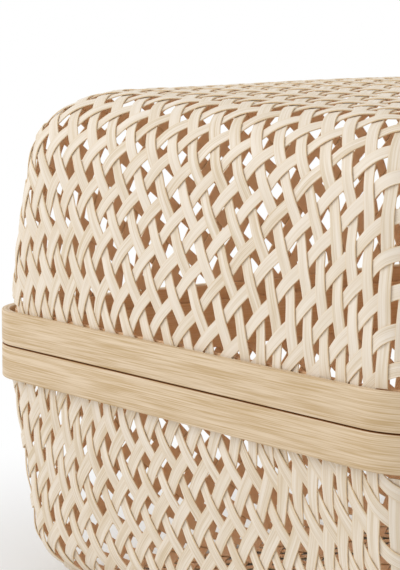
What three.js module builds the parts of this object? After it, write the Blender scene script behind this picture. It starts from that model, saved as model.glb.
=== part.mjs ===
// A woven bamboo box with a lift-off lid.
// Each half is a shell plaited from thin flat strips. The strip ends are clamped at the mouth between
// an outer and an inner bent band, and a lip inside the base keeps the lid in place.
// Millimetres, +Z up. The origin is under the middle of the box, on the surface that it stands on.

import * as THREE from 'three';

// Outer bands, one round the mouth of each half
const BAND_WIDTH = 300;
const BAND_CORNER_RADIUS = 31;
const BAND_HEIGHT = 15;
const OUTER_BAND_THICKNESS = 3.7;
const BAND_EDGE_ROUNDING = 0.6;

// Inner bands, and the lip that stands up from the base into the lid
const LID_INNER_BAND_THICKNESS = 2;
const LIP_THICKNESS = 2;
const LIP_RISE = 8;
const LIP_CLEARANCE = 0.8;

// Gaps between neighbours
const GLUE_GAP = 0.3;
const PARTING_GAP = 0.4;

// Plaited shells: depths are measured from the mouth, and the crown swells past the depth
const WEAVE_THICKNESS = 1.8;
const STRIP_END_SETBACK = 1;
const LID_DEPTH = 113.6;
const LID_CROWN = 6;
const LID_TAPER_ANGLE = THREE.MathUtils.degToRad(5.4);
const LID_WALL_BULGE = 0.8;
const LID_SHOULDER_RADIUS = 33;
const BASE_DEPTH = 110;
const BASE_CROWN = 0;
const BASE_TAPER_ANGLE = THREE.MathUtils.degToRad(5.8);
const BASE_WALL_BULGE = 0;
const BASE_SHOULDER_RADIUS = 30;

// Openings of the plaits, drawn as one plain grid of square holes between ribs, coarser than the real one
const OPENINGS_ACROSS = 8;
const WALL_OPENING_ROWS = 3;
const LID_OPENING_SHARE = 0.55;
const BASE_OPENING_SHARE = 0.5;

// Fineness of the round stretches, in which openings and ribs alternate too
const CORNER_STEPS = 6;
const SHOULDER_STEPS = 6;
const STEPS_PER_OPENING = 2;
const ROUNDING_STEPS = 2;

// Limits that keep roundings inside the walls they are on: a share of the wall, and a least corner radius
const LARGEST_ROUNDING_SHARE = 0.4;
const SMALLEST_CORNER_RADIUS = 1;

// Half widths of the rings at the mouth, from the outside in
const OUTER_BAND_HALF = BAND_WIDTH / 2;
const OUTER_BAND_BORE = OUTER_BAND_HALF - OUTER_BAND_THICKNESS;
const WEAVE_HALF = OUTER_BAND_BORE - GLUE_GAP;
const INNER_BAND_HALF = WEAVE_HALF - WEAVE_THICKNESS - GLUE_GAP;
const LID_INNER_BAND_BORE = INNER_BAND_HALF - LID_INNER_BAND_THICKNESS;
const LIP_HALF = LID_INNER_BAND_BORE - LIP_CLEARANCE;
const LIP_BORE = LIP_HALF - LIP_THICKNESS;
const BASE_INNER_BAND_BORE = LIP_HALF + GLUE_GAP;

// Corner radius of a ring at the mouth: all of them share the outer band's corner centres
function mouthCornerRadius(half) {
  return Math.max(BAND_CORNER_RADIUS - (OUTER_BAND_HALF - half), SMALLEST_CORNER_RADIUS);
}

// Closed outline of a square with round corners, anticlockwise
function roundedSquare(half, radius) {
  const flat = half - radius;
  const quarter = Math.PI / 2;
  const outline = new THREE.Shape();
  outline.absarc(flat, -flat, radius, -quarter, 0);
  outline.absarc(flat, flat, radius, 0, quarter);
  outline.absarc(-flat, flat, radius, quarter, 2 * quarter);
  outline.absarc(-flat, -flat, radius, 2 * quarter, 3 * quarter);
  outline.closePath();
  return outline;
}

// Bent band standing on z = 0, with its four long edges eased
function bandGeometry(outerHalf, innerHalf, height) {
  const outline = roundedSquare(outerHalf, mouthCornerRadius(outerHalf));
  outline.holes.push(roundedSquare(innerHalf, mouthCornerRadius(innerHalf)));
  const rounding = Math.min(BAND_EDGE_ROUNDING, LARGEST_ROUNDING_SHARE * (outerHalf - innerHalf));
  const geometry = new THREE.ExtrudeGeometry(outline, {
    depth: height - 2 * rounding,
    curveSegments: CORNER_STEPS / 2,
    bevelThickness: rounding,
    bevelSize: rounding,
    bevelOffset: -rounding,
    bevelSegments: ROUNDING_STEPS,
  });
  return geometry.translate(0, 0, rounding);
}

// Stops from 0 to 1 between which ribs and openings alternate, with a rib at both ends
function ribStops(openings, openShare) {
  const opening = openShare / (1 - openShare);
  const whole = openings + 1 + openings * opening;
  const stops = [0];
  for (let step = 0; step <= 2 * openings; step += 1) {
    stops.push(stops[step] + (step % 2 === 1 ? opening : 1) / whole);
  }
  return stops;
}

// Whether a step along a side or up a wall, or round a corner or a shoulder, is an opening
const isStraightOpening = (step) => step % 2 === 1;
const isRoundOpening = (step) => Math.floor(step / STEPS_PER_OPENING) % 2 === 0;

// Columns of a tub: the ribs and openings of each side, then the steps round the corner after it
const SIDE_COLUMNS = 2 * OPENINGS_ACROSS + 1;
const QUARTER_COLUMNS = SIDE_COLUMNS + CORNER_STEPS;
const COLUMNS = 4 * QUARTER_COLUMNS;

function isSideOpening(column) {
  const place = column % QUARTER_COLUMNS;
  return place < SIDE_COLUMNS && isStraightOpening(place);
}

function isCornerOpening(column) {
  const place = column % QUARTER_COLUMNS;
  return place >= SIDE_COLUMNS && isRoundOpening(place - SIDE_COLUMNS);
}

// Starts of the columns on a level square with round corners, anticlockwise from the front's left end
function columnPlaces(half, radius, stops) {
  const flat = half - radius;
  const quarter = stops.map((stop) => new THREE.Vector2(THREE.MathUtils.lerp(-flat, flat, stop), -half));
  for (let step = 1; step < CORNER_STEPS; step += 1) {
    const angle = THREE.MathUtils.lerp(-Math.PI / 2, 0, step / CORNER_STEPS);
    quarter.push(new THREE.Vector2(flat + radius * Math.cos(angle), -flat + radius * Math.sin(angle)));
  }
  const middle = new THREE.Vector2();
  const turned = (turn) => quarter.map((place) => place.clone().rotateAround(middle, turn));
  return [0, 0.5, 1, 1.5].flatMap((halfTurns) => turned(halfTurns * Math.PI));
}

// One face of a tub with its mouth up at z = 0, inset from the outer face by the given distance: level rings
// of points from the rim down to the floor, and the square grid of the floor. A ring is open where the band
// of wall that ends at it has openings.
function tubFace(tub, inset) {
  const half = tub.mouthHalf - inset;
  const depth = tub.depth - inset;
  const shoulderRadius = tub.shoulderRadius - inset;
  const cornerRadius = mouthCornerRadius(half);
  const crownAngle = Math.atan2(2 * tub.crown, tub.mouthHalf - tub.shoulderRadius);
  const shoulderTop = depth - shoulderRadius * (Math.cos(crownAngle) - Math.sin(tub.taper));
  const wallHeight = shoulderTop - tub.collar;
  const sideStops = ribStops(OPENINGS_ACROSS, tub.openShare);
  const rings = [];
  const addRing = (ringHalf, radius, depthAt, open) => {
    const places = columnPlaces(ringHalf, radius, sideStops);
    rings.push({ open, points: places.map((place) => new THREE.Vector3(place.x, place.y, -depthAt(place))) });
  };

  addRing(half, cornerRadius, () => STRIP_END_SETBACK, false);
  addRing(half, cornerRadius, () => tub.collar, false);
  const wallStops = ribStops(WALL_OPENING_ROWS, tub.openShare);
  wallStops.slice(1).forEach((share, step) => {
    const taperIn = share * wallHeight * Math.tan(tub.taper);
    const bulgeOut = tub.bulge * Math.sin(Math.PI * share);
    const ringDepth = tub.collar + share * wallHeight;
    addRing(half - taperIn + bulgeOut, cornerRadius, () => ringDepth, isStraightOpening(step));
  });

  const centreHalf = half - wallHeight * Math.tan(tub.taper) - shoulderRadius * Math.cos(tub.taper);
  const centreDepth = shoulderTop - shoulderRadius * Math.sin(tub.taper);
  const shoulderEnd = Math.PI / 2 - crownAngle;
  for (let step = 0; step < SHOULDER_STEPS; step += 1) {
    const angle = THREE.MathUtils.lerp(tub.taper, shoulderEnd, (step + 1) / SHOULDER_STEPS);
    const ringHalf = centreHalf + shoulderRadius * Math.cos(angle);
    const ringDepth = centreDepth + shoulderRadius * Math.sin(angle);
    addRing(ringHalf, cornerRadius, () => ringDepth, isRoundOpening(step));
  }

  const floorHalf = centreHalf + shoulderRadius * Math.cos(shoulderEnd);
  const rise = (across) => 1 - (across / floorHalf) ** 2;
  const floorDepth = (place) => depth + tub.crown * rise(place.x) * rise(place.y);
  const floorFlat = floorHalf - cornerRadius;
  const borderRadius = cornerRadius * tub.openShare;
  addRing(floorFlat + borderRadius, borderRadius, floorDepth, false);

  const gridStops = sideStops.map((stop) => THREE.MathUtils.lerp(-floorFlat, floorFlat, stop));
  const gridPoint = (x, y) => new THREE.Vector3(x, y, -floorDepth({ x, y }));
  const grid = gridStops.flatMap((y) => gridStops.map((x) => gridPoint(x, y)));
  return { rings, grid };
}

// Solid cells of a tub's outer face, as corners that are numbered ring by ring and then along the floor
function tubCells(rings) {
  const lastRing = rings.length - 1;
  const at = (ring, column) => ring * COLUMNS + (column % COLUMNS);
  const gridAt = (x, y) => rings.length * COLUMNS + y * (SIDE_COLUMNS + 1) + x;
  const gridEdge = (column) => {
    const stop = Math.min(column % QUARTER_COLUMNS, SIDE_COLUMNS);
    const back = SIDE_COLUMNS - stop;
    const edges = [[stop, 0], [SIDE_COLUMNS, stop], [back, SIDE_COLUMNS], [0, back]];
    return gridAt(...edges[Math.floor(column / QUARTER_COLUMNS) % 4]);
  };
  const cells = [];

  for (let column = 0; column < COLUMNS; column += 1) {
    for (let ring = 1; ring <= lastRing; ring += 1) {
      if (!rings[ring].open || !(isSideOpening(column) || isCornerOpening(column))) {
        cells.push([at(ring - 1, column), at(ring, column), at(ring, column + 1), at(ring - 1, column + 1)]);
      }
    }
    if (!isSideOpening(column)) {
      const cell = [at(lastRing, column), gridEdge(column), gridEdge(column + 1), at(lastRing, column + 1)];
      cells.push([...new Set(cell)]);
    }
  }
  for (let y = 0; y < SIDE_COLUMNS; y += 1) {
    for (let x = 0; x < SIDE_COLUMNS; x += 1) {
      if (!isStraightOpening(x) || !isStraightOpening(y)) {
        cells.push([gridAt(x, y), gridAt(x, y + 1), gridAt(x + 1, y + 1), gridAt(x + 1, y)]);
      }
    }
  }
  return cells;
}

// Closed body between an outer and an inner layer of points. The cells are faces of the outer layer,
// anticlockwise seen from outside, and each edge that only one of them has gets a wall.
function sheetGeometry(outer, inner, cells) {
  const count = outer.length;
  const indices = [];
  const edges = new Set();
  const edgeKey = (from, to) => from * count + to;
  const eachEdge = (cell, visit) => cell.forEach((corner, i) => visit(corner, cell[(i + 1) % cell.length]));
  for (const cell of cells) {
    for (let i = 2; i < cell.length; i += 1) {
      indices.push(cell[0], cell[i - 1], cell[i]);
      indices.push(count + cell[0], count + cell[i], count + cell[i - 1]);
    }
    eachEdge(cell, (from, to) => edges.add(edgeKey(from, to)));
  }
  for (const cell of cells) {
    eachEdge(cell, (from, to) => {
      if (!edges.has(edgeKey(to, from))) {
        indices.push(to, from, count + from, to, count + from, count + to);
      }
    });
  }
  const geometry = new THREE.BufferGeometry().setFromPoints([...outer, ...inner]);
  geometry.setIndex(indices);
  return geometry;
}

// Thin-walled tub with its mouth up at z = 0 and a grid of openings in its walls and floor
function tubGeometry(tub) {
  const facePoints = (face) => [...face.rings.flatMap((ring) => ring.points), ...face.grid];
  const outer = tubFace(tub, 0);
  const inner = tubFace(tub, WEAVE_THICKNESS);
  const geometry = sheetGeometry(facePoints(outer), facePoints(inner), tubCells(outer.rings));
  geometry.computeVertexNormals();
  return geometry;
}

const stripMaterial = new THREE.MeshStandardMaterial({ color: 0xdecba9, roughness: 0.62, metalness: 0 });
const bandMaterial = new THREE.MeshStandardMaterial({ color: 0xcfae7c, roughness: 0.5, metalness: 0 });
const innerBandMaterial = new THREE.MeshStandardMaterial({ color: 0xc8a473, roughness: 0.6, metalness: 0 });

function namedMesh(name, geometry, material) {
  const mesh = new THREE.Mesh(geometry, material);
  mesh.name = name;
  return mesh;
}

// Base: its group stands on z = 0, and its mouth is at the base's depth
function buildBase() {
  const base = new THREE.Group();
  const weave = namedMesh('base_weave', tubGeometry({
    mouthHalf: WEAVE_HALF,
    collar: BAND_HEIGHT,
    depth: BASE_DEPTH,
    crown: BASE_CROWN,
    taper: BASE_TAPER_ANGLE,
    bulge: BASE_WALL_BULGE,
    shoulderRadius: BASE_SHOULDER_RADIUS,
    openShare: BASE_OPENING_SHARE,
  }), stripMaterial);
  weave.position.z = BASE_DEPTH;

  const bandFoot = BASE_DEPTH - BAND_HEIGHT;
  const outerBand = namedMesh(
    'base_outer_band', bandGeometry(OUTER_BAND_HALF, OUTER_BAND_BORE, BAND_HEIGHT), bandMaterial);
  outerBand.position.z = bandFoot;
  const innerBand = namedMesh(
    'base_inner_band', bandGeometry(INNER_BAND_HALF, BASE_INNER_BAND_BORE, BAND_HEIGHT), innerBandMaterial);
  innerBand.position.z = bandFoot;
  const lip = namedMesh(
    'base_locating_lip', bandGeometry(LIP_HALF, LIP_BORE, BAND_HEIGHT + LIP_RISE), innerBandMaterial);
  lip.position.z = bandFoot;

  base.add(weave, outerBand, innerBand, lip);
  return base;
}

// Lid: its group's origin is in the plane of its mouth, and its shell is a tub turned over
function buildLid() {
  const lid = new THREE.Group();
  const weave = namedMesh('lid_weave', tubGeometry({
    mouthHalf: WEAVE_HALF,
    collar: BAND_HEIGHT,
    depth: LID_DEPTH,
    crown: LID_CROWN,
    taper: LID_TAPER_ANGLE,
    bulge: LID_WALL_BULGE,
    shoulderRadius: LID_SHOULDER_RADIUS,
    openShare: LID_OPENING_SHARE,
  }), stripMaterial);
  weave.rotation.x = Math.PI;

  const outerBand = namedMesh(
    'lid_outer_band', bandGeometry(OUTER_BAND_HALF, OUTER_BAND_BORE, BAND_HEIGHT), bandMaterial);
  const innerBand = namedMesh(
    'lid_inner_band', bandGeometry(INNER_BAND_HALF, LID_INNER_BAND_BORE, BAND_HEIGHT), innerBandMaterial);

  lid.add(weave, outerBand, innerBand);
  return lid;
}

const box = new THREE.Group();
const lid = buildLid();
lid.position.z = BASE_DEPTH + PARTING_GAP;
box.add(buildBase(), lid);

export default box;
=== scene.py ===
"""Woven bamboo box with a lift-off lid: plaited shells, bent bands, and a plain studio stage.

Each shell is one flat plait of thin strips that was moulded over the form, so the strips are drawn as
straight lines on the flat plait and carried onto the shell by a net whose sides keep their length.
Metres, +Z up, in the frame of the solids.
"""

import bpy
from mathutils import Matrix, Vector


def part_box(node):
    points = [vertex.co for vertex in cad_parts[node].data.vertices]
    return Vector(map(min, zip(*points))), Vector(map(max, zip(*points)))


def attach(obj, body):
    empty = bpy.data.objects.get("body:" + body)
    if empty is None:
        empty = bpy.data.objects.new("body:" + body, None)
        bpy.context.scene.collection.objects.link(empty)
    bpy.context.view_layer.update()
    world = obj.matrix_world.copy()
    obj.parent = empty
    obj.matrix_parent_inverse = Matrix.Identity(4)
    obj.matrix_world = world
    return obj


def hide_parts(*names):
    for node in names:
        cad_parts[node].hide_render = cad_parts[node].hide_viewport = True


bl_info = {
    "name": "Woven Lidded Box",
    "version": (1, 0, 0),
    "blender": (4, 5, 0),
    "location": "View3D > Sidebar > Woven Box",
    "description": "Dresses the solids of a woven box with plaited strips and bent bamboo bands",
    "category": "Object",
}

import math
from typing import NamedTuple

import bmesh
import bpy
import numpy as np
from bpy.props import FloatProperty, FloatVectorProperty, PointerProperty
from mathutils import Matrix, Vector

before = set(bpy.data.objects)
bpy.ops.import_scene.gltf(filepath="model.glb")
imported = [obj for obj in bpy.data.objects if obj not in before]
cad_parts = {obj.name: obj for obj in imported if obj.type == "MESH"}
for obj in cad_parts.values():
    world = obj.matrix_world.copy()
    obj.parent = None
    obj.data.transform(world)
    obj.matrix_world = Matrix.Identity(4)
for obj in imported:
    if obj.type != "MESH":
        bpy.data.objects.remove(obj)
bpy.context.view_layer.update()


class Grain(NamedTuple):
    """Noise drawn out along a strip or band: its waves along and across, its detail and its share."""

    along: float
    across: float
    detail: float
    share: float


MM = 0.001
TINY = 1e-12

# Draped net: length of its sides, reach along its edges, last row as a multiple of that reach, and the
# longest move of a knot in one round
NET_STEP = 3 * MM
NET_REACH = 270 * MM
LAST_ROW = 1.45
LONGEST_MOVE = NET_STEP / 2

# Distances from the middle of the plait at which it starts to loosen and to fan out
EVEN_REACH = 120 * MM
FAN_REACH = 200 * MM

# How often a place is corrected until it holds
SETTLE_ROUNDS = 4
HEADING_ROUNDS = 6
NEWTON_ROUNDS = 10
PULL_ROUNDS = 12

# Strips: distance between the rings of points, fewest rings, and the least length that is worth a strip
STRIP_STEP = 2.2 * MM
FEWEST_RINGS = 4
SHORTEST_STRIP = 12 * MM

# Bands: segments, least height of a level face's normal, and least angle of an edge that is rounded
CORNER_SEGMENTS = 24
ROUNDING_SEGMENTS = 3
LEVEL_NORMAL = 0.5
EASED_ANGLE = math.radians(60)

# Largest angle of an edge that is shaded smooth
SMOOTH_ANGLE = math.radians(35)

# Seeds of the strips' unevenness
LID_SEED = 11
BASE_SEED = 12

# UV maps and values that the meshes carry for their finishes
STRIP_UV = "strip_run"
STRIP_TONE = "strip_tone"
STRIP_INNER = "strip_inner"
BAND_UV = "band_run"

# Share of the inner face's colour on the sides of a strip's section. That colour is partly painted
# shade, and on the lower eased edges it paints a thin shade line.
OUTER_SIDE = 0
LOWER_EDGE_SHADE = 0.25
INNER_SIDE = 1

# Finish of the strips. Waves are per metre along a strip and per width across it
STRIP_FIBRES = Grain(along=28, across=15, detail=3, share=0.5)
STRIP_PATCHES = Grain(along=22, across=2.5, detail=2, share=0.5)
STRIP_CONTRAST = (0.38, 0.64)
TONE_LAYERS = 80
STRAW_SHARE = (0.35, 0.8)
STRIP_EDGE = (0.42, 0.5)
STRIP_EDGE_SHARE = 0.8
STRIP_ROUGHNESS = (0.52, 0.66)
STRIP_BUMP = 0.2

# Finish of the bands. Waves are per metre along a band and across it
BAND_FIBRES = Grain(along=32, across=1900, detail=3, share=0.55)
BAND_STREAKS = Grain(along=8, across=520, detail=2, share=0.3)
BAND_PATCHES = Grain(along=22, across=60, detail=2, share=0.15)
FIBRE_LAYER = 0
STREAK_LAYER = 3
PATCH_LAYER = 7
BAND_CONTRAST = (0.39, 0.63)
# Distances from the parting line over which painted shade darkens the outer bands' meeting edges
PARTING_SHADE_EDGE = (0.3 * MM, 0.55 * MM)
BAND_ROUGHNESS = (0.42, 0.56)
BAND_BUMP = 0.25

# Finish of both
NOISE_ROUGHNESS = 0.55
FIBRE_RANGE = (0.3, 0.7)
BUMP_HEIGHT = 0.2 * MM

# Stage: floor, with the distances between which it goes to white, surroundings and lamp
FLOOR_RADIUS = 30
FLOOR_SIDES = 96
FLOOR_DROP = 0.2 * MM
FLOOR_FADE = (0.16, 0.4)
WHITE = (1, 1, 1, 1)
WORLD_STRENGTH = 0.75
KEY_PLACE = (-1.3, -1.9, 1.7)
KEY_SIZE = 1.4
KEY_POWER = 24

# Photograph's camera. Its line of sight passes beside and above the middle of the parting line
PHOTO_WIDTH = 400
PHOTO_HEIGHT = 570
FOCAL_PIXELS = 2352.4
SENSOR_WIDTH = 36.0
VIEW_AZIMUTH = math.radians(53.236)
VIEW_ELEVATION = math.radians(7.618)
VIEW_DISTANCE = 1044.6 * MM
VIEW_SLIDE = -107.75 * MM
VIEW_RISE = 28.355 * MM
CLIP_START = 0.05
CLIP_END = 100


def length(name, description, default):
    """A size in metres that a user may change."""
    return FloatProperty(name=name, description=description, default=default, unit="LENGTH")


def angle(name, description, degrees):
    """An angle that a user may change, given here in degrees."""
    default = math.radians(degrees)
    return FloatProperty(name=name, description=description, default=default, subtype="ANGLE")


def factor(name, description, default):
    """A share that a user may change."""
    return FloatProperty(name=name, description=description, default=default, subtype="FACTOR")


def colour(name, description, default):
    """A linear colour that a user may change."""
    return FloatVectorProperty(
        name=name, description=description, default=default, size=3, min=0, max=1, subtype="COLOR")


class LidPlaitSettings(bpy.types.PropertyGroup):
    """Form and plait of the lid's shell."""

    taper: angle("Taper", "Lean of the walls", 5.4)
    bulge: length("Bulge", "Swell of the walls at mid height", 0.8 * MM)
    shoulder: length("Shoulder", "Radius between the walls and the top", 33 * MM)
    crown: length("Crown", "Rise of the top's middle over its edges", 6 * MM)
    straw: factor("Straw", "Least share of the darker straw colour in a strip", 0.0)
    fanning: angle("Fanning", "Turn of the plait towards the corners, near the mouth", 17.69)
    loosening: factor("Loosening", "Share by which the strips spread apart near the mouth", 0.0637)
    warp_spacing: length("Warp Spacing", "Distance between warp strips on the flat plait", 11.134 * MM)
    warp_slant: angle("Warp Slant", "Turn of the warp strips on the flat plait", -7.717)
    warp_shift: length("Warp Shift", "Place of the first warp strip", -0.89 * MM)
    warp_width: length("Warp Width", "Width of a warp strip", 5.7 * MM)
    weft_spacing: length("Weft Spacing", "Distance between weft strips on the flat plait", 11.563 * MM)
    weft_slant: angle("Weft Slant", "Turn of the weft strips on the flat plait", 5.316)
    weft_shift: length("Weft Shift", "Place of the first weft strip", -3.25 * MM)
    weft_width: length("Weft Width", "Width of a weft strip", 5.6 * MM)


class BasePlaitSettings(bpy.types.PropertyGroup):
    """Form and plait of the base's shell."""

    taper: angle("Taper", "Lean of the walls", 5.8)
    bulge: length("Bulge", "Swell of the walls at mid height", 0.0)
    shoulder: length("Shoulder", "Radius between the walls and the floor", 30 * MM)
    crown: length("Crown", "Sag of the floor's middle below its edges", 0.0)
    straw: factor("Straw", "Least share of the darker straw colour in a strip", 0.55)
    fanning: angle("Fanning", "Turn of the plait towards the corners, near the mouth", 4.02)
    loosening: factor("Loosening", "Share by which the strips spread apart near the mouth", 0.0682)
    warp_spacing: length("Warp Spacing", "Distance between warp strips on the flat plait", 11.027 * MM)
    warp_slant: angle("Warp Slant", "Turn of the warp strips on the flat plait", -3.207)
    warp_shift: length("Warp Shift", "Place of the first warp strip", -3.66 * MM)
    warp_width: length("Warp Width", "Width of a warp strip", 6.0 * MM)
    weft_spacing: length("Weft Spacing", "Distance between weft strips on the flat plait", 10.746 * MM)
    weft_slant: angle("Weft Slant", "Turn of the weft strips on the flat plait", -5.54)
    weft_shift: length("Weft Shift", "Place of the first weft strip", 8.866 * MM)
    weft_width: length("Weft Width", "Width of a weft strip", 5.5 * MM)


class StripSettings(bpy.types.PropertyGroup):
    """Section and unevenness of the strips in both plaits."""

    thickness: length("Thickness", "Thickness of a strip", 0.55 * MM)
    shell: length("Shell", "Thickness of the solid shell that a plait stands for", 1.8 * MM)
    wave: length("Wave", "Height to which a strip rises over a crossing strip", 0.52 * MM)
    crowning: length("Crowning", "Swell of a strip's face across its width", 0.03 * MM)
    easing: length("Easing", "Width of the eased edges", 0.12 * MM)
    setback: length("Setback", "Least distance of the strip ends from the mouth", 1 * MM)
    wander: length("Wander", "Largest sideways shift of a strip from its even place", 0.5 * MM)
    unevenness: factor("Unevenness", "Largest share by which a strip's width differs", 0.05)


class BandSettings(bpy.types.PropertyGroup):
    """Sections of the bent bands."""

    corner: length("Corner", "Radius of the outer bands' corners", 31 * MM)
    rounding: length("Rounding", "Rounding of the outer bands' long edges", 0.6 * MM)
    inner_rounding: length("Inner Rounding", "Rounding of the inner bands' long edges", 0.5 * MM)
    outer: length("Outer Bands", "Thickness of the outer bands", 3.7 * MM)
    lid_inner: length("Lid Inner Band", "Thickness of the lid's inner band", 2 * MM)
    base_inner: length("Base Inner Band", "Thickness of the base's inner band", 2.5 * MM)
    lip: length("Lip", "Thickness of the locating lip", 2 * MM)


class FinishSettings(bpy.types.PropertyGroup):
    """Colours of the bamboo and of the floor, as linear values."""

    strip_pale: colour("Strip Pale", "Pale fibres of the strips", (0.87, 0.775, 0.655))
    strip_straw: colour("Strip Straw", "Darker fibres of the strips", (0.63, 0.485, 0.295))
    strip_edge: colour("Strip Edge", "Eased edges of the strips", (0.84, 0.665, 0.42))
    # The inner face's colour is partly the bamboo's darker inner side and partly painted shade: it is
    # browner and warmer than the bamboo, standing in for the shade and warm bounce light inside the
    # box.
    strip_inside_and_shade: colour("Strip Inside", "Unpolished inner face of the strips", (0.89, 0.615, 0.375))
    band_pale: colour("Band Pale", "Pale fibres of the outer bands", (0.765, 0.603, 0.417))
    band_tan: colour("Band Tan", "Darker fibres of the outer bands", (0.545, 0.375, 0.185))
    # The inner bands' colours are partly the bamboo's own and partly painted shade: both are warmer and
    # darker than the bamboo, standing in for the shade inside the box.
    inner_pale_and_shade: colour("Inner Band Pale", "Pale fibres of the inner bands", (0.80, 0.525, 0.29))
    inner_brown_and_shade: colour("Inner Band Brown", "Darker fibres of the inner bands", (0.71, 0.42, 0.205))
    # Painted shade on the outer bands' meeting edges, standing in for the shade in the narrow parting
    # gap.
    parting_shade: colour("Joint", "Bare edges where the outer bands meet", (0.30, 0.12, 0.025))
    floor: colour("Floor", "Floor of the stage", (0.88, 0.88, 0.88))


class WovenBoxSettings(bpy.types.PropertyGroup):
    """All sizes and colours of the box."""

    lid: PointerProperty(type=LidPlaitSettings)
    base: PointerProperty(type=BasePlaitSettings)
    strips: PointerProperty(type=StripSettings)
    bands: PointerProperty(type=BandSettings)
    finish: PointerProperty(type=FinishSettings)


class Shell:
    """Middle surface of one plaited shell. Its own heights start at the mouth and grow to the closed
    end, so the base's shell stands on its head here."""

    def __init__(self, node, band, form, strips, corner):
        low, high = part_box(node)
        band_low, band_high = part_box(band)
        inset = strips.shell / 2
        band_inset = band_high.x - high.x
        opens_up = high.z - band_high.z < band_low.z - low.z
        reach = band_high.z - low.z if opens_up else high.z - band_low.z
        crown_angle = math.atan2(2 * form.crown, high.x - form.shoulder)

        self.mouth = band_high.z if opens_up else band_low.z
        self.sides = (1, 1, -1) if opens_up else (1, 1, 1)
        self.taper = form.taper
        self.bulge = form.bulge
        self.crown = form.crown
        self.collar = band_high.z - band_low.z
        self.half = high.x - inset
        self.corner = corner - band_inset - inset
        self.depth = reach - form.crown - inset
        self.shoulder = form.shoulder - inset
        self.shoulder_end = math.pi / 2 - crown_angle
        wall_top = self.depth - self.shoulder * (math.cos(crown_angle) - math.sin(self.taper))
        self.wall = wall_top - self.collar
        lean = self.wall * math.tan(self.taper)
        self.centre_half = self.half - lean - self.shoulder * math.cos(self.taper)
        self.centre_depth = wall_top - self.shoulder * math.sin(self.taper)
        self.top_half = self.centre_half + self.shoulder * math.cos(self.shoulder_end)

    def ring(self, x, y):
        """Half width of the level rounded square through a point, and its slopes along x and y."""
        across = np.abs(x)
        along = np.abs(y)
        skew = across - along
        in_corner = np.abs(skew) < self.corner
        root = np.sqrt(np.maximum(2 * self.corner ** 2 - skew ** 2, TINY))
        half = np.where(in_corner, (across + along - root) / 2 + self.corner, np.maximum(across, along))
        slope_x = np.where(in_corner, 0.5 * (1 + skew / root), skew > 0) * np.sign(x)
        slope_y = np.where(in_corner, 0.5 * (1 - skew / root), skew <= 0) * np.sign(y)
        return half, slope_x, slope_y

    def wall_field(self, half, slope_x, slope_y, z):
        """Signed distance from the leaning wall or the upright collar, and its gradient."""
        share = np.clip((z - self.collar) / self.wall, 0, 1)
        wall_half = self.half - share * self.wall * math.tan(self.taper)
        wall_half = wall_half + self.bulge * np.sin(np.pi * share)
        slope = -math.tan(self.taper) + self.bulge * np.pi / self.wall * np.cos(np.pi * share)
        slope = np.where(z > self.collar, slope, 0)
        return half - wall_half, np.stack([slope_x, slope_y, -slope], -1)

    def shoulder_field(self, half, slope_x, slope_y, z):
        """Signed distance from the round shoulder, and its gradient."""
        out = half - self.centre_half
        up = z - self.centre_depth
        radius = np.maximum(np.hypot(out, up), TINY)
        gradient = np.stack([slope_x * out, slope_y * out, up], -1) / radius[..., None]
        return radius - self.shoulder, gradient

    def top_field(self, x, y, z):
        """Height over the domed closed end, and its gradient."""
        rise_x = np.maximum(1 - (x / self.top_half) ** 2, 0)
        rise_y = np.maximum(1 - (y / self.top_half) ** 2, 0)
        pull = 2 * self.crown / self.top_half ** 2
        gradient = np.stack([pull * x * rise_y, pull * y * rise_x, np.ones_like(x)], -1)
        return z - self.depth - self.crown * rise_x * rise_y, gradient

    def field(self, points):
        """Distance-like value that is zero on the shell, and its gradient."""
        x, y, z = np.moveaxis(points, -1, 0)
        half, slope_x, slope_y = self.ring(x, y)
        turn = np.arctan2(z - self.centre_depth, half - self.centre_half)
        on_top = (turn >= self.shoulder_end) | ((half < self.top_half) & (z > self.centre_depth))
        on_wall = (turn <= self.taper) & ~on_top
        top, top_gradient = self.top_field(x, y, z)
        wall, wall_gradient = self.wall_field(half, slope_x, slope_y, z)
        shoulder, shoulder_gradient = self.shoulder_field(half, slope_x, slope_y, z)
        value = np.where(on_top, top, np.where(on_wall, wall, shoulder))
        gradient = np.where(on_wall[..., None], wall_gradient, shoulder_gradient)
        return value, np.where(on_top[..., None], top_gradient, gradient)

    def settle(self, points):
        """Points moved onto the shell along its gradient."""
        for _ in range(SETTLE_ROUNDS):
            value, gradient = self.field(points)
            steepness = np.maximum((gradient ** 2).sum(-1), TINY)
            points = points - (value / steepness)[..., None] * gradient
        return points

    def to_frame(self, points):
        """Points of the shell in the frame of the solids."""
        return points * self.sides + (0, 0, self.mouth)

    def normals(self, points):
        """Outward unit normals in the frame of the solids."""
        return unit(self.field(points)[1] * self.sides)


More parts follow.
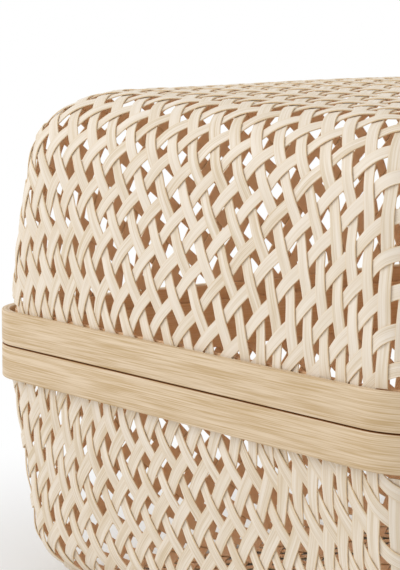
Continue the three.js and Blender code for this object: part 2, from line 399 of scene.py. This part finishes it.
class Drape:
    """Flat plait moulded over a shell: a net with sides of one length, its middle on the closed end.
    Towards the mouth the plait is fanned out to the corners and loosened a little."""

    def __init__(self, shell, fanning, loosening):
        self.shell = shell
        self.fanning = fanning
        self.loosening = loosening
        self.count = round(NET_REACH / NET_STEP)
        self.net = np.full((self.count + 1, self.count + 1, 3), np.nan)
        self.lay_diagonals()
        for row in range(2, int(LAST_ROW * self.count)):
            self.lay_row(row)

    def lay_diagonals(self):
        """First lines of the net: from the middle over the two front corners and down their edges."""
        point = np.array([0, 0, self.shell.depth + self.shell.crown])
        heading = np.array([1, -1, 0]) / math.sqrt(2)
        line = [point]
        for _ in range(self.count):
            step = point + heading * NET_STEP
            for _ in range(HEADING_ROUNDS):
                step = self.shell.settle(step)
                heading = unit(step - point)
                step = point + heading * NET_STEP
            point = step
            line.append(point)
        self.net[:, 0] = line
        self.net[0, :] = np.array(line) * (-1, 1, 1)

    def lay_row(self, row):
        """Next knots of the net: each lies one step from two earlier knots, on the shell."""
        i = np.arange(max(1, row - self.count), min(self.count, row - 1) + 1)
        j = row - i
        left = self.net[i - 1, j]
        right = self.net[i, j - 1]
        knots = self.shell.settle(left + right - self.net[i - 1, j - 1])
        for _ in range(NEWTON_ROUNDS):
            value, gradient = self.shell.field(knots)
            from_left = knots - left
            from_right = knots - right
            misses = np.stack([
                ((from_left ** 2).sum(-1) - NET_STEP ** 2) / NET_STEP,
                ((from_right ** 2).sum(-1) - NET_STEP ** 2) / NET_STEP,
                value,
            ], -1)
            slopes = np.stack([2 * from_left / NET_STEP, 2 * from_right / NET_STEP, gradient], -2)
            step = (np.linalg.pinv(slopes) @ misses[..., None])[..., 0]
            size = np.linalg.norm(step, axis=-1, keepdims=True)
            knots = knots - step * np.minimum(1, LONGEST_MOVE / np.maximum(size, TINY))
        self.net[i, j] = knots

    def pull(self, u, v):
        """Places on the net under places on the flat plait."""
        reach = np.hypot(u, v)
        turn = np.arctan2(v, u)
        net_reach = reach
        net_turn = turn
        for _ in range(PULL_ROUNDS):
            beyond = np.maximum(net_reach / EVEN_REACH - 1, 0)
            net_reach = reach / (1 - self.loosening * beyond)
            beyond = np.maximum(net_reach / FAN_REACH - 1, 0)
            near_corner = (1 + np.cos(4 * net_turn)) / 2
            net_turn = turn - self.fanning * beyond * near_corner * np.sin(4 * net_turn)
        return net_reach * np.cos(net_turn), net_reach * np.sin(net_turn)

    def place(self, u, v):
        """Points of the shell under places on the flat plait."""
        u, v = self.pull(u, v)
        points = np.zeros(u.shape + (3,))
        quadrants = (
            ((u >= 0) & (v >= 0), u, v, (1, 0)),
            ((u >= 0) & (v < 0), -v, u, (0, 1)),
            ((u < 0) & (v < 0), -u, -v, (-1, 0)),
            ((u < 0) & (v >= 0), v, -u, (0, -1)),
        )
        for chosen, along, across, (cosine, sine) in quadrants:
            x, y, z = np.moveaxis(self.between_knots(along[chosen], across[chosen]), -1, 0)
            points[chosen] = np.stack([cosine * x - sine * y, sine * x + cosine * y, z], -1)
        return self.shell.settle(points)

    def between_knots(self, along, across):
        """Points of the front quarter of the net, between its knots."""
        row = along / NET_STEP
        column = across / NET_STEP
        i = np.clip(row.astype(int), 0, self.count - 1)
        j = np.clip(column.astype(int), 0, self.count - 1)
        s = (row - i)[:, None]
        t = (column - j)[:, None]
        near = self.net[i, j] * (1 - s) + self.net[i + 1, j] * s
        far = self.net[i, j + 1] * (1 - s) + self.net[i + 1, j + 1] * s
        return near * (1 - t) + far * t


class StripSet:
    """One of the two sets of parallel strips on the flat plait. Where the first strips of both sets
    cross, the warp is on top."""

    def __init__(self, spacing, slant, shift, width, is_warp):
        self.spacing = spacing
        self.shift = shift
        self.width = width
        self.top = 1 if is_warp else -1
        self.across = np.array([math.sin(slant), math.cos(slant)])
        if not is_warp:
            self.across = self.across[::-1]
        self.along = np.array([self.across[1], -self.across[0]])

    def phase(self, places):
        """How many strips lie between the first one and places on the flat plait."""
        return (places @ self.across - self.shift) / self.spacing


def unit(vectors):
    """Vectors of length one."""
    return vectors / np.linalg.norm(vectors, axis=-1, keepdims=True)


def strip_section(width, strips):
    """Corners of a strip's section, anticlockwise from its right edge: across, up, and the share of the
    inner face's colour on the side that starts there."""
    side = width / 2
    face = side - strips.easing
    top = strips.thickness / 2
    corners = [
        (side, 0, OUTER_SIDE),
        (face, top, OUTER_SIDE),
        (0, top + strips.crowning, OUTER_SIDE),
        (-face, top, OUTER_SIDE),
        # The lower eased edges take part of the inner face's colour: painted shade along the strips'
        # lower edges.
        (-side, 0, LOWER_EDGE_SHADE),
        (-face, -top, INNER_SIDE),
        (0, -top + strips.crowning, INNER_SIDE),
        (face, -top, LOWER_EDGE_SHADE),
    ]
    return np.array(corners)


def strip_run(drape, strip_set, index, wander, setback):
    """Places on the flat plait along one strip, from rim to rim, or None where it is too short."""
    start = strip_set.across * (strip_set.shift + index * strip_set.spacing + wander)
    travel = np.arange(-NET_REACH, NET_REACH, NET_STEP)
    places = start + travel[:, None] * strip_set.along
    inside = np.hypot(*drape.pull(*places.T)) < NET_REACH - 2 * NET_STEP
    travel = travel[inside]
    if not travel.size:
        return None
    heights = drape.place(*places[inside].T)[:, 2]
    kept = np.flatnonzero(heights > setback)
    if not kept.size:
        return None
    first, last = kept[0], kept[-1]
    begin = rim_crossing(travel, heights, first, first - 1, setback)
    end = rim_crossing(travel, heights, last, last + 1, setback)
    if end - begin < SHORTEST_STRIP:
        return None
    rings = max(FEWEST_RINGS, round((end - begin) / STRIP_STEP))
    return start + np.linspace(begin, end, rings)[:, None] * strip_set.along


def rim_crossing(travel, heights, inner, outer, setback):
    """How far along a strip it comes to the rim, between a sample inside the rim and one outside."""
    outer = min(max(outer, 0), len(travel) - 1)
    if outer == inner:
        return travel[inner]
    share = (heights[inner] - setback) / (heights[inner] - heights[outer])
    return travel[inner] + share * (travel[outer] - travel[inner])


def strip_surface(drape, strips, own, crossing, index, places, width):
    """Rings of points of one strip that weaves over and under the crossing strips."""
    shell = drape.shell
    centre = drape.place(*places.T)
    normal = shell.normals(centre)
    line = shell.to_frame(centre)
    heading = unit(np.gradient(line, axis=0))
    side = unit(np.cross(normal, heading))

    reach = NET_STEP / 2
    u, v = places.T
    u_step = shell.to_frame(drape.place(u + reach, v)) - shell.to_frame(drape.place(u - reach, v))
    v_step = shell.to_frame(drape.place(u, v + reach)) - shell.to_frame(drape.place(u, v - reach))
    net_axes = np.stack([u_step, v_step], -1) / NET_STEP
    side_places = (np.linalg.pinv(net_axes) @ side[..., None])[..., 0]

    section = strip_section(width, strips)
    phase = crossing.phase(places[:, None] + side_places[:, None] * section[None, :, :1])
    parity = -1 if index % 2 else 1
    rise = strips.wave * parity * own.top * np.cos(np.pi * phase)
    lift = rise + section[:, 1]
    return line[:, None] + side[:, None] * section[None, :, :1] + normal[:, None] * lift[..., None]


class MeshParts:
    """Points and faces of many strips and their values, gathered into one mesh."""

    def __init__(self):
        self.points = []
        self.faces = []
        self.uvs = []
        self.tones = []
        self.inner = []
        self.count = 0

    def add_strip(self, rings, section, width, tone, start):
        """Adds one closed strip, given by its rings of points."""
        steps, corners = rings.shape[:2]
        ids = self.count + np.arange(steps * corners).reshape(steps, corners)
        turned = np.roll(ids, -1, axis=1)
        quads = np.stack([ids[:-1], turned[:-1], turned[1:], ids[1:]], -1).reshape(-1, 4)
        self.faces.extend(quads.tolist())
        self.faces.append(ids[0, ::-1].tolist())
        self.faces.append(ids[-1].tolist())
        self.points.append(rings.reshape(-1, 3))
        middle = rings.mean(1)
        lengths = np.linalg.norm(np.diff(middle, axis=0), axis=1)
        travel = np.concatenate([[0], np.cumsum(lengths)]) + start
        across = section[:, 0] / width + 0.5
        uv = np.stack(np.broadcast_arrays(travel[:, None], across[None, :]), -1)
        self.uvs.append(uv.reshape(-1, 2))
        self.tones.append(np.full(steps * corners, tone))
        ends = (OUTER_SIDE, OUTER_SIDE)
        self.inner.append(np.append(np.tile(section[:, 2], steps - 1), ends))
        self.count += steps * corners

    def to_object(self, name):
        """The gathered strips as one object."""
        mesh = bpy.data.meshes.new(name)
        mesh.from_pydata(np.concatenate(self.points).tolist(), [], self.faces)
        corner_points = np.zeros(len(mesh.loops), dtype=np.int32)
        mesh.loops.foreach_get("vertex_index", corner_points)
        uv_map = mesh.uv_layers.new(name=STRIP_UV)
        uv_map.data.foreach_set("uv", np.concatenate(self.uvs)[corner_points].ravel())
        tone = mesh.attributes.new(STRIP_TONE, "FLOAT", "POINT")
        tone.data.foreach_set("value", np.concatenate(self.tones))
        inner = mesh.attributes.new(STRIP_INNER, "FLOAT", "FACE")
        inner.data.foreach_set("value", np.concatenate(self.inner))
        piece = bpy.data.objects.new(name, mesh)
        bpy.context.scene.collection.objects.link(piece)
        return piece


def plait_strips(name, drape, strips, own, crossing, straw, random):
    """All strips of one set, each as a closed body, in one object."""
    parts = MeshParts()
    span = int(NET_REACH / own.spacing) + 2
    for index in range(-span, span + 1):
        wander = strips.wander * random.uniform(-1, 1)
        width = own.width * (1 + strips.unevenness * random.uniform(-1, 1))
        tone = random.uniform(straw, 1)
        start = random.uniform(0, 1)
        places = strip_run(drape, own, index, wander, strips.setback + width / 2)
        if places is None:
            continue
        rings = strip_surface(drape, strips, own, crossing, index, places, width)
        parts.add_strip(rings, strip_section(width, strips), width, tone, start)
    return parts.to_object(name)


def settle_piece(piece, body, node, material):
    """Gives a finished piece its body and its material, and hides the solid that it stands for."""
    smooth_by_angle(piece)
    piece.data.materials.append(material)
    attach(piece, body)
    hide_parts(node)


def smooth_by_angle(piece):
    """Smooth shading, with the sharp edges kept."""
    bpy.ops.object.select_all(action="DESELECT")
    piece.select_set(True)
    bpy.context.view_layer.objects.active = piece
    bpy.ops.object.shade_smooth_by_angle(angle=SMOOTH_ANGLE)


def make_plait(body, form, seed):
    """Both strip sets of one shell."""
    settings = bpy.context.scene.woven_box
    shell = Shell(f"{body}_weave", f"{body}_outer_band", form, settings.strips, settings.bands.corner)
    drape = Drape(shell, form.fanning, form.loosening)
    warp = StripSet(form.warp_spacing, form.warp_slant, form.warp_shift, form.warp_width, True)
    weft = StripSet(form.weft_spacing, form.weft_slant, form.weft_shift, form.weft_width, False)
    random = np.random.default_rng(seed)
    material = strip_finish()
    for kind, own, crossing in (("warp", warp, weft), ("weft", weft, warp)):
        name = f"{body}_{kind}_strips"
        piece = plait_strips(name, drape, settings.strips, own, crossing, form.straw, random)
        settle_piece(piece, body, f"{body}_weave", material)


def parting_height():
    """Height at which the outer bands meet."""
    return (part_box("base_outer_band")[1].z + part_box("lid_outer_band")[0].z) / 2


def bend_band(name, node, thickness, rounding):
    """One bent band, in the place of its solid."""
    low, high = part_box(node)
    outer_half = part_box("lid_outer_band")[1].x
    corner = bpy.context.scene.woven_box.bands.corner - (outer_half - high.x)
    bpy.ops.object.select_all(action="DESELECT")
    bpy.ops.mesh.primitive_plane_add(size=high.x - low.x, location=(0, 0, low.z))
    band = bpy.context.object
    band.name = name
    band.data.name = name

    bpy.ops.object.mode_set(mode="EDIT")
    bpy.ops.mesh.select_all(action="SELECT")
    bpy.ops.mesh.bevel(offset=corner, segments=CORNER_SEGMENTS, affect="VERTICES")
    bpy.ops.mesh.select_all(action="SELECT")
    bpy.ops.mesh.extrude_region_move(TRANSFORM_OT_translate={"value": (0, 0, high.z - low.z)})
    select_faces(band, lambda face: abs(face.normal.z) > LEVEL_NORMAL)
    bpy.ops.mesh.delete(type="FACE")
    bpy.ops.mesh.select_all(action="SELECT")
    bpy.ops.mesh.normals_make_consistent(inside=False)
    bpy.ops.object.mode_set(mode="OBJECT")
    bpy.ops.object.transform_apply(location=True, rotation=True, scale=True)

    wall = band.modifiers.new("Wall", "SOLIDIFY")
    wall.thickness = thickness
    wall.offset = -1
    wall.use_even_offset = True
    bpy.ops.object.modifier_apply(modifier=wall.name)
    easing = band.modifiers.new("Easing", "BEVEL")
    easing.width = rounding
    easing.segments = ROUNDING_SEGMENTS
    easing.limit_method = "ANGLE"
    easing.angle_limit = EASED_ANGLE
    bpy.ops.object.modifier_apply(modifier=easing.name)
    unroll_band(band, high.x, corner)
    return band


def select_faces(piece, chosen):
    """In edit mode, selects the faces that pass a test, and no others."""
    bpy.ops.mesh.select_all(action="DESELECT")
    bpy.ops.mesh.select_mode(type="FACE")
    mesh = bmesh.from_edit_mesh(piece.data)
    for face in mesh.faces:
        face.select_set(chosen(face))
    bmesh.update_edit_mesh(piece.data)


def unroll_band(band, half, corner):
    """UV map of a band: metres along its run from the middle of its back, and metres up and inwards."""
    mesh = band.data
    uv_map = mesh.uv_layers.new(name=BAND_UV)
    flat = half - corner
    perimeter = 8 * flat + 2 * math.pi * corner
    for face in mesh.polygons:
        runs = []
        for loop in face.loop_indices:
            point = mesh.vertices[mesh.loops[loop].vertex_index].co
            run, inset = band_run(point, flat, corner)
            runs.append(run)
            uv_map.data[loop].uv = (run, point.z + inset)
        if max(runs) - min(runs) > perimeter / 2:
            for loop, run in zip(face.loop_indices, runs):
                if run < perimeter / 2:
                    uv_map.data[loop].uv[0] = run + perimeter


def band_run(point, flat, corner):
    """Distance along a rounded square from the middle of its back, and depth below its outline."""
    quarter = 2 * flat + math.pi * corner / 2
    turn = math.atan2(point.x, point.y) % (2 * math.pi)
    side = int((turn + math.pi / 4) / (math.pi / 2)) % 4
    turned = Matrix.Rotation(side * math.pi / 2, 2) @ Vector((point.x, point.y))
    beyond = abs(turned.x) - flat
    out = turned.y - flat
    if beyond <= 0:
        run = turned.x
        inset = corner - out
    else:
        run = math.copysign(flat + corner * math.atan2(beyond, out), turned.x)
        inset = corner - math.hypot(beyond, out)
    return (side * quarter + run) % (4 * quarter), inset


class Nodes:
    """Short way of adding nodes and links to one material or world."""

    def __init__(self, owner):
        owner.use_nodes = True
        self.tree = owner.node_tree
        self.tree.nodes.clear()

    def add(self, kind, inputs=(), **settings):
        """Adds a node. An input is a value, or a socket to link from."""
        node = self.tree.nodes.new(kind)
        for name, value in settings.items():
            setattr(node, name, value)
        for socket, value in dict(inputs).items():
            if isinstance(value, bpy.types.NodeSocket):
                self.tree.links.new(value, node.inputs[socket])
            else:
                node.inputs[socket].default_value = value
        return node

    def math(self, operation, first, second=0.0):
        """Result of one step of arithmetic."""
        return self.add("ShaderNodeMath", {0: first, 1: second}, operation=operation).outputs[0]

    def spread(self, value, span, to=(0.0, 1.0)):
        """A number brought from one range to another, with soft ends."""
        inputs = {0: value, 1: span[0], 2: span[1], 3: to[0], 4: to[1]}
        return self.add("ShaderNodeMapRange", inputs, interpolation_type="SMOOTHSTEP").outputs[0]

    def run(self, uv_map):
        """Places along and across a strip or band."""
        places = self.add("ShaderNodeUVMap", uv_map=uv_map).outputs[0]
        return self.add("ShaderNodeSeparateXYZ", {0: places}).outputs

    def noise(self, run, grain, layer):
        """Noise of one grain along a strip or band. Each layer of it has other waves."""
        along = self.math("MULTIPLY", run[0], grain.along)
        across = self.math("MULTIPLY", run[1], grain.across)
        place = self.add("ShaderNodeCombineXYZ", {0: along, 1: across, 2: layer}).outputs[0]
        inputs = {"Vector": place, "Scale": 1.0, "Detail": grain.detail, "Roughness": NOISE_ROUGHNESS}
        return self.add("ShaderNodeTexNoise", inputs).outputs["Fac"]

    def weigh(self, first, *others):
        """Weighted sum, from pairs of a number and its weight."""
        total = self.math("MULTIPLY", *first)
        for pair in others:
            total = self.math("ADD", total, self.math("MULTIPLY", *pair))
        return total

    def mix(self, share, first, second):
        """A blend of two colours."""
        inputs = {0: share, 6: first, 7: second}
        return self.add("ShaderNodeMix", inputs, data_type="RGBA").outputs[2]

    def surface(self, base, roughness, bump, height):
        """Principled surface with bump, linked to the output."""
        inputs = {"Strength": bump, "Distance": BUMP_HEIGHT, "Height": height}
        relief = self.add("ShaderNodeBump", inputs)
        inputs = {"Base Color": base, "Roughness": roughness, "Normal": relief.outputs[0]}
        shader = self.add("ShaderNodeBsdfPrincipled", inputs)
        self.add("ShaderNodeOutputMaterial", {"Surface": shader.outputs[0]})

    def plain_sight(self):
        """One for rays from the camera, a mirror or glass, and zero for the rest."""
        path = self.add("ShaderNodeLightPath").outputs
        seen = self.math("MAXIMUM", path["Is Camera Ray"], path["Is Glossy Ray"])
        return self.math("MAXIMUM", seen, path["Is Transmission Ray"])


def solid(rgb):
    """A colour with full alpha."""
    return (*rgb, 1.0)


def strip_finish():
    """Split bamboo strip: pale fibres along its run, warm eased edges, and a browner inner face that is
    partly the bamboo's own inner side and partly painted shade of the box's inside.
    """
    name = "split_bamboo_strip"
    existing = bpy.data.materials.get(name)
    if existing:
        return existing
    finish = bpy.context.scene.woven_box.finish
    material = bpy.data.materials.new(name)
    nodes = Nodes(material)
    run = nodes.run(STRIP_UV)
    tone = nodes.add("ShaderNodeAttribute", attribute_name=STRIP_TONE).outputs["Fac"]
    inner = nodes.add("ShaderNodeAttribute", attribute_name=STRIP_INNER).outputs["Fac"]

    layer = nodes.math("MULTIPLY", tone, TONE_LAYERS)
    fibres = nodes.noise(run, STRIP_FIBRES, layer)
    patches = nodes.noise(run, STRIP_PATCHES, layer)
    grain = nodes.weigh((fibres, STRIP_FIBRES.share), (patches, STRIP_PATCHES.share))
    straw = nodes.spread(grain, STRIP_CONTRAST)
    straw = nodes.math("MULTIPLY", straw, nodes.spread(tone, (0, 1), STRAW_SHARE))
    base = nodes.mix(straw, solid(finish.strip_pale), solid(finish.strip_straw))
    off_centre = nodes.math("ABSOLUTE", nodes.math("SUBTRACT", run[1], 0.5))
    edge = nodes.spread(off_centre, STRIP_EDGE, (0, STRIP_EDGE_SHARE))
    base = nodes.mix(edge, base, solid(finish.strip_edge))
    # The inner face's colour paints part of the shade inside the box, and a thin shade line on the
    # lower eased edges.
    base = nodes.mix(inner, base, solid(finish.strip_inside_and_shade))
    roughness = nodes.spread(fibres, FIBRE_RANGE, STRIP_ROUGHNESS)
    nodes.surface(base, roughness, STRIP_BUMP, fibres)
    return material


def band_finish(name, pale, tan, parting=None):
    """Bent bamboo band: fine fibres along its run, and painted shade on the edges where two bands meet,
    darkening the narrow gap between them.
    """
    existing = bpy.data.materials.get(name)
    if existing:
        return existing
    material = bpy.data.materials.new(name)
    nodes = Nodes(material)
    run = nodes.run(BAND_UV)
    fibres = nodes.noise(run, BAND_FIBRES, FIBRE_LAYER)
    streaks = nodes.noise(run, BAND_STREAKS, STREAK_LAYER)
    patches = nodes.noise(run, BAND_PATCHES, PATCH_LAYER)
    grain = nodes.weigh(
        (fibres, BAND_FIBRES.share), (streaks, BAND_STREAKS.share), (patches, BAND_PATCHES.share))
    base = nodes.mix(nodes.spread(grain, BAND_CONTRAST), solid(pale), solid(tan))
    # Painted shade: the bands darken towards the parting line, where the gap between them lies in
    # shade.
    if parting is not None:
        place = nodes.add("ShaderNodeTexCoord").outputs["Object"]
        height = nodes.add("ShaderNodeSeparateXYZ", {0: place}).outputs[2]
        away = nodes.math("ABSOLUTE", nodes.math("SUBTRACT", height, parting))
        parting_shade = nodes.spread(away, PARTING_SHADE_EDGE, (1, 0))
        base = nodes.mix(parting_shade, base, solid(bpy.context.scene.woven_box.finish.parting_shade))
    roughness = nodes.spread(fibres, FIBRE_RANGE, BAND_ROUGHNESS)
    nodes.surface(base, roughness, BAND_BUMP, fibres)
    return material


class WOVENBOX_OT_lid_plait(bpy.types.Operator):
    """Plait the lid's shell"""

    bl_idname = "wovenbox.lid_plait"
    bl_label = "Lid Plait"

    def execute(self, context):
        make_plait("lid", context.scene.woven_box.lid, LID_SEED)
        return {"FINISHED"}


class WOVENBOX_OT_base_plait(bpy.types.Operator):
    """Plait the base's shell"""

    bl_idname = "wovenbox.base_plait"
    bl_label = "Base Plait"

    def execute(self, context):
        make_plait("base", context.scene.woven_box.base, BASE_SEED)
        return {"FINISHED"}


class WOVENBOX_OT_outer_bands(bpy.types.Operator):
    """Bend the outer band of the lid and of the base"""

    bl_idname = "wovenbox.outer_bands"
    bl_label = "Outer Bands"

    def execute(self, context):
        bands = context.scene.woven_box.bands
        finish = context.scene.woven_box.finish
        material = band_finish("bent_bamboo_band", finish.band_pale, finish.band_tan, parting_height())
        for body in ("lid", "base"):
            node = f"{body}_outer_band"
            band = bend_band(f"{body}_outer_bent_band", node, bands.outer, bands.rounding)
            settle_piece(band, body, node, material)
        return {"FINISHED"}


class WOVENBOX_OT_inner_bands(bpy.types.Operator):
    """Bend the inner bands and the locating lip"""

    bl_idname = "wovenbox.inner_bands"
    bl_label = "Inner Bands and Lip"

    def execute(self, context):
        bands = context.scene.woven_box.bands
        finish = context.scene.woven_box.finish
        # The inner bands' colours carry painted shade of the box's inside.
        material = band_finish("inner_bamboo_band", finish.inner_pale_and_shade, finish.inner_brown_and_shade)
        rings = (
            ("lid", "lid_inner_bent_band", "lid_inner_band", bands.lid_inner),
            ("base", "base_inner_bent_band", "base_inner_band", bands.base_inner),
            ("base", "base_bent_lip", "base_locating_lip", bands.lip),
        )
        for body, name, node, thickness in rings:
            band = bend_band(name, node, thickness, bands.inner_rounding)
            settle_piece(band, body, node, material)
        return {"FINISHED"}


def add_softbox(target):
    """Square lamp in front of the box, to the left, that faces a point."""
    lamp = bpy.data.lights.new("key_softbox", "AREA")
    lamp.size = KEY_SIZE
    lamp.energy = KEY_POWER
    softbox = bpy.data.objects.new("key_softbox", lamp)
    softbox.location = KEY_PLACE
    softbox.rotation_euler = (target - softbox.location).to_track_quat("-Z", "Y").to_euler()
    bpy.context.scene.collection.objects.link(softbox)


def add_floor():
    """Pale floor that goes to white away from the box."""
    bpy.ops.object.select_all(action="DESELECT")
    bpy.ops.mesh.primitive_circle_add(
        vertices=FLOOR_SIDES, radius=FLOOR_RADIUS, fill_type="NGON", location=(0, 0, -FLOOR_DROP))
    floor = bpy.context.object
    floor.name = "studio_floor"
    bpy.ops.object.transform_apply(location=True)
    material = bpy.data.materials.new("studio_floor")
    nodes = Nodes(material)
    place = nodes.add("ShaderNodeTexCoord").outputs["Object"]
    distance = nodes.add("ShaderNodeVectorMath", {0: place}, operation="LENGTH").outputs["Value"]
    fade = nodes.math("MULTIPLY", nodes.plain_sight(), nodes.spread(distance, FLOOR_FADE))
    pale = solid(bpy.context.scene.woven_box.finish.floor)
    matt = nodes.add("ShaderNodeBsdfDiffuse", {"Color": pale})
    white = nodes.add("ShaderNodeEmission", {"Color": WHITE, "Strength": 1.0})
    mixed = nodes.add("ShaderNodeMixShader", {0: fade, 1: matt.outputs[0], 2: white.outputs[0]})
    nodes.add("ShaderNodeOutputMaterial", {"Surface": mixed.outputs[0]})
    floor.data.materials.append(material)


def add_world():
    """White surroundings that light the box softly."""
    world = bpy.data.worlds.new("studio_surroundings")
    bpy.context.scene.world = world
    nodes = Nodes(world)
    strength = nodes.spread(nodes.plain_sight(), (0, 1), (WORLD_STRENGTH, 1))
    shader = nodes.add("ShaderNodeBackground", {"Color": WHITE, "Strength": strength})
    nodes.add("ShaderNodeOutputWorld", {"Surface": shader.outputs[0]})


def add_camera(middle):
    """Camera at the photograph's viewing angle, placed from the middle of the parting line."""
    back = Vector((
        math.sin(VIEW_AZIMUTH) * math.cos(VIEW_ELEVATION),
        -math.cos(VIEW_AZIMUTH) * math.cos(VIEW_ELEVATION),
        math.sin(VIEW_ELEVATION),
    ))
    right = Vector((math.cos(VIEW_AZIMUTH), math.sin(VIEW_AZIMUTH), 0))
    up = back.cross(right)
    lens = bpy.data.cameras.new("photo_camera")
    lens.sensor_fit = "AUTO"
    lens.sensor_width = SENSOR_WIDTH
    lens.lens = FOCAL_PIXELS * SENSOR_WIDTH / max(PHOTO_WIDTH, PHOTO_HEIGHT)
    lens.clip_start = CLIP_START
    lens.clip_end = CLIP_END
    camera = bpy.data.objects.new("photo_camera", lens)
    place = middle + back * VIEW_DISTANCE + right * VIEW_SLIDE + up * VIEW_RISE
    turn = Matrix((right, up, back)).transposed().to_4x4()
    camera.matrix_world = Matrix.Translation(place) @ turn
    bpy.context.scene.collection.objects.link(camera)
    bpy.context.scene.camera = camera


class WOVENBOX_OT_stage(bpy.types.Operator):
    """Set the floor, the soft light and the camera"""

    bl_idname = "wovenbox.stage"
    bl_label = "Stage"

    def execute(self, context):
        middle = Vector((0, 0, parting_height()))
        context.scene.view_settings.view_transform = "Standard"
        add_floor()
        add_world()
        add_softbox(middle)
        add_camera(middle)
        return {"FINISHED"}


class WOVENBOX_PT_pieces(bpy.types.Panel):
    """Pieces of the woven box"""

    bl_idname = "WOVENBOX_PT_pieces"
    bl_label = "Woven Lidded Box"
    bl_space_type = "VIEW_3D"
    bl_region_type = "UI"
    bl_category = "Woven Box"

    def draw(self, context):
        for operator in OPERATORS:
            self.layout.operator(operator.bl_idname)


OPERATORS = (
    WOVENBOX_OT_stage,
    WOVENBOX_OT_outer_bands,
    WOVENBOX_OT_inner_bands,
    WOVENBOX_OT_lid_plait,
    WOVENBOX_OT_base_plait,
)

CLASSES = (
    LidPlaitSettings,
    BasePlaitSettings,
    StripSettings,
    BandSettings,
    FinishSettings,
    WovenBoxSettings,
    *OPERATORS,
    WOVENBOX_PT_pieces,
)


def register():
    """Registers the classes and the settings."""
    for item in CLASSES:
        bpy.utils.register_class(item)
    bpy.types.Scene.woven_box = PointerProperty(type=WovenBoxSettings)


def unregister():
    """Removes the settings and the classes."""
    del bpy.types.Scene.woven_box
    for item in reversed(CLASSES):
        bpy.utils.unregister_class(item)


def main():
    """Builds the box and its stage."""
    register()
    bpy.ops.wovenbox.stage()
    bpy.ops.wovenbox.outer_bands()
    bpy.ops.wovenbox.inner_bands()
    bpy.ops.wovenbox.lid_plait()
    bpy.ops.wovenbox.base_plait()


if __name__ == "__main__":
    main()
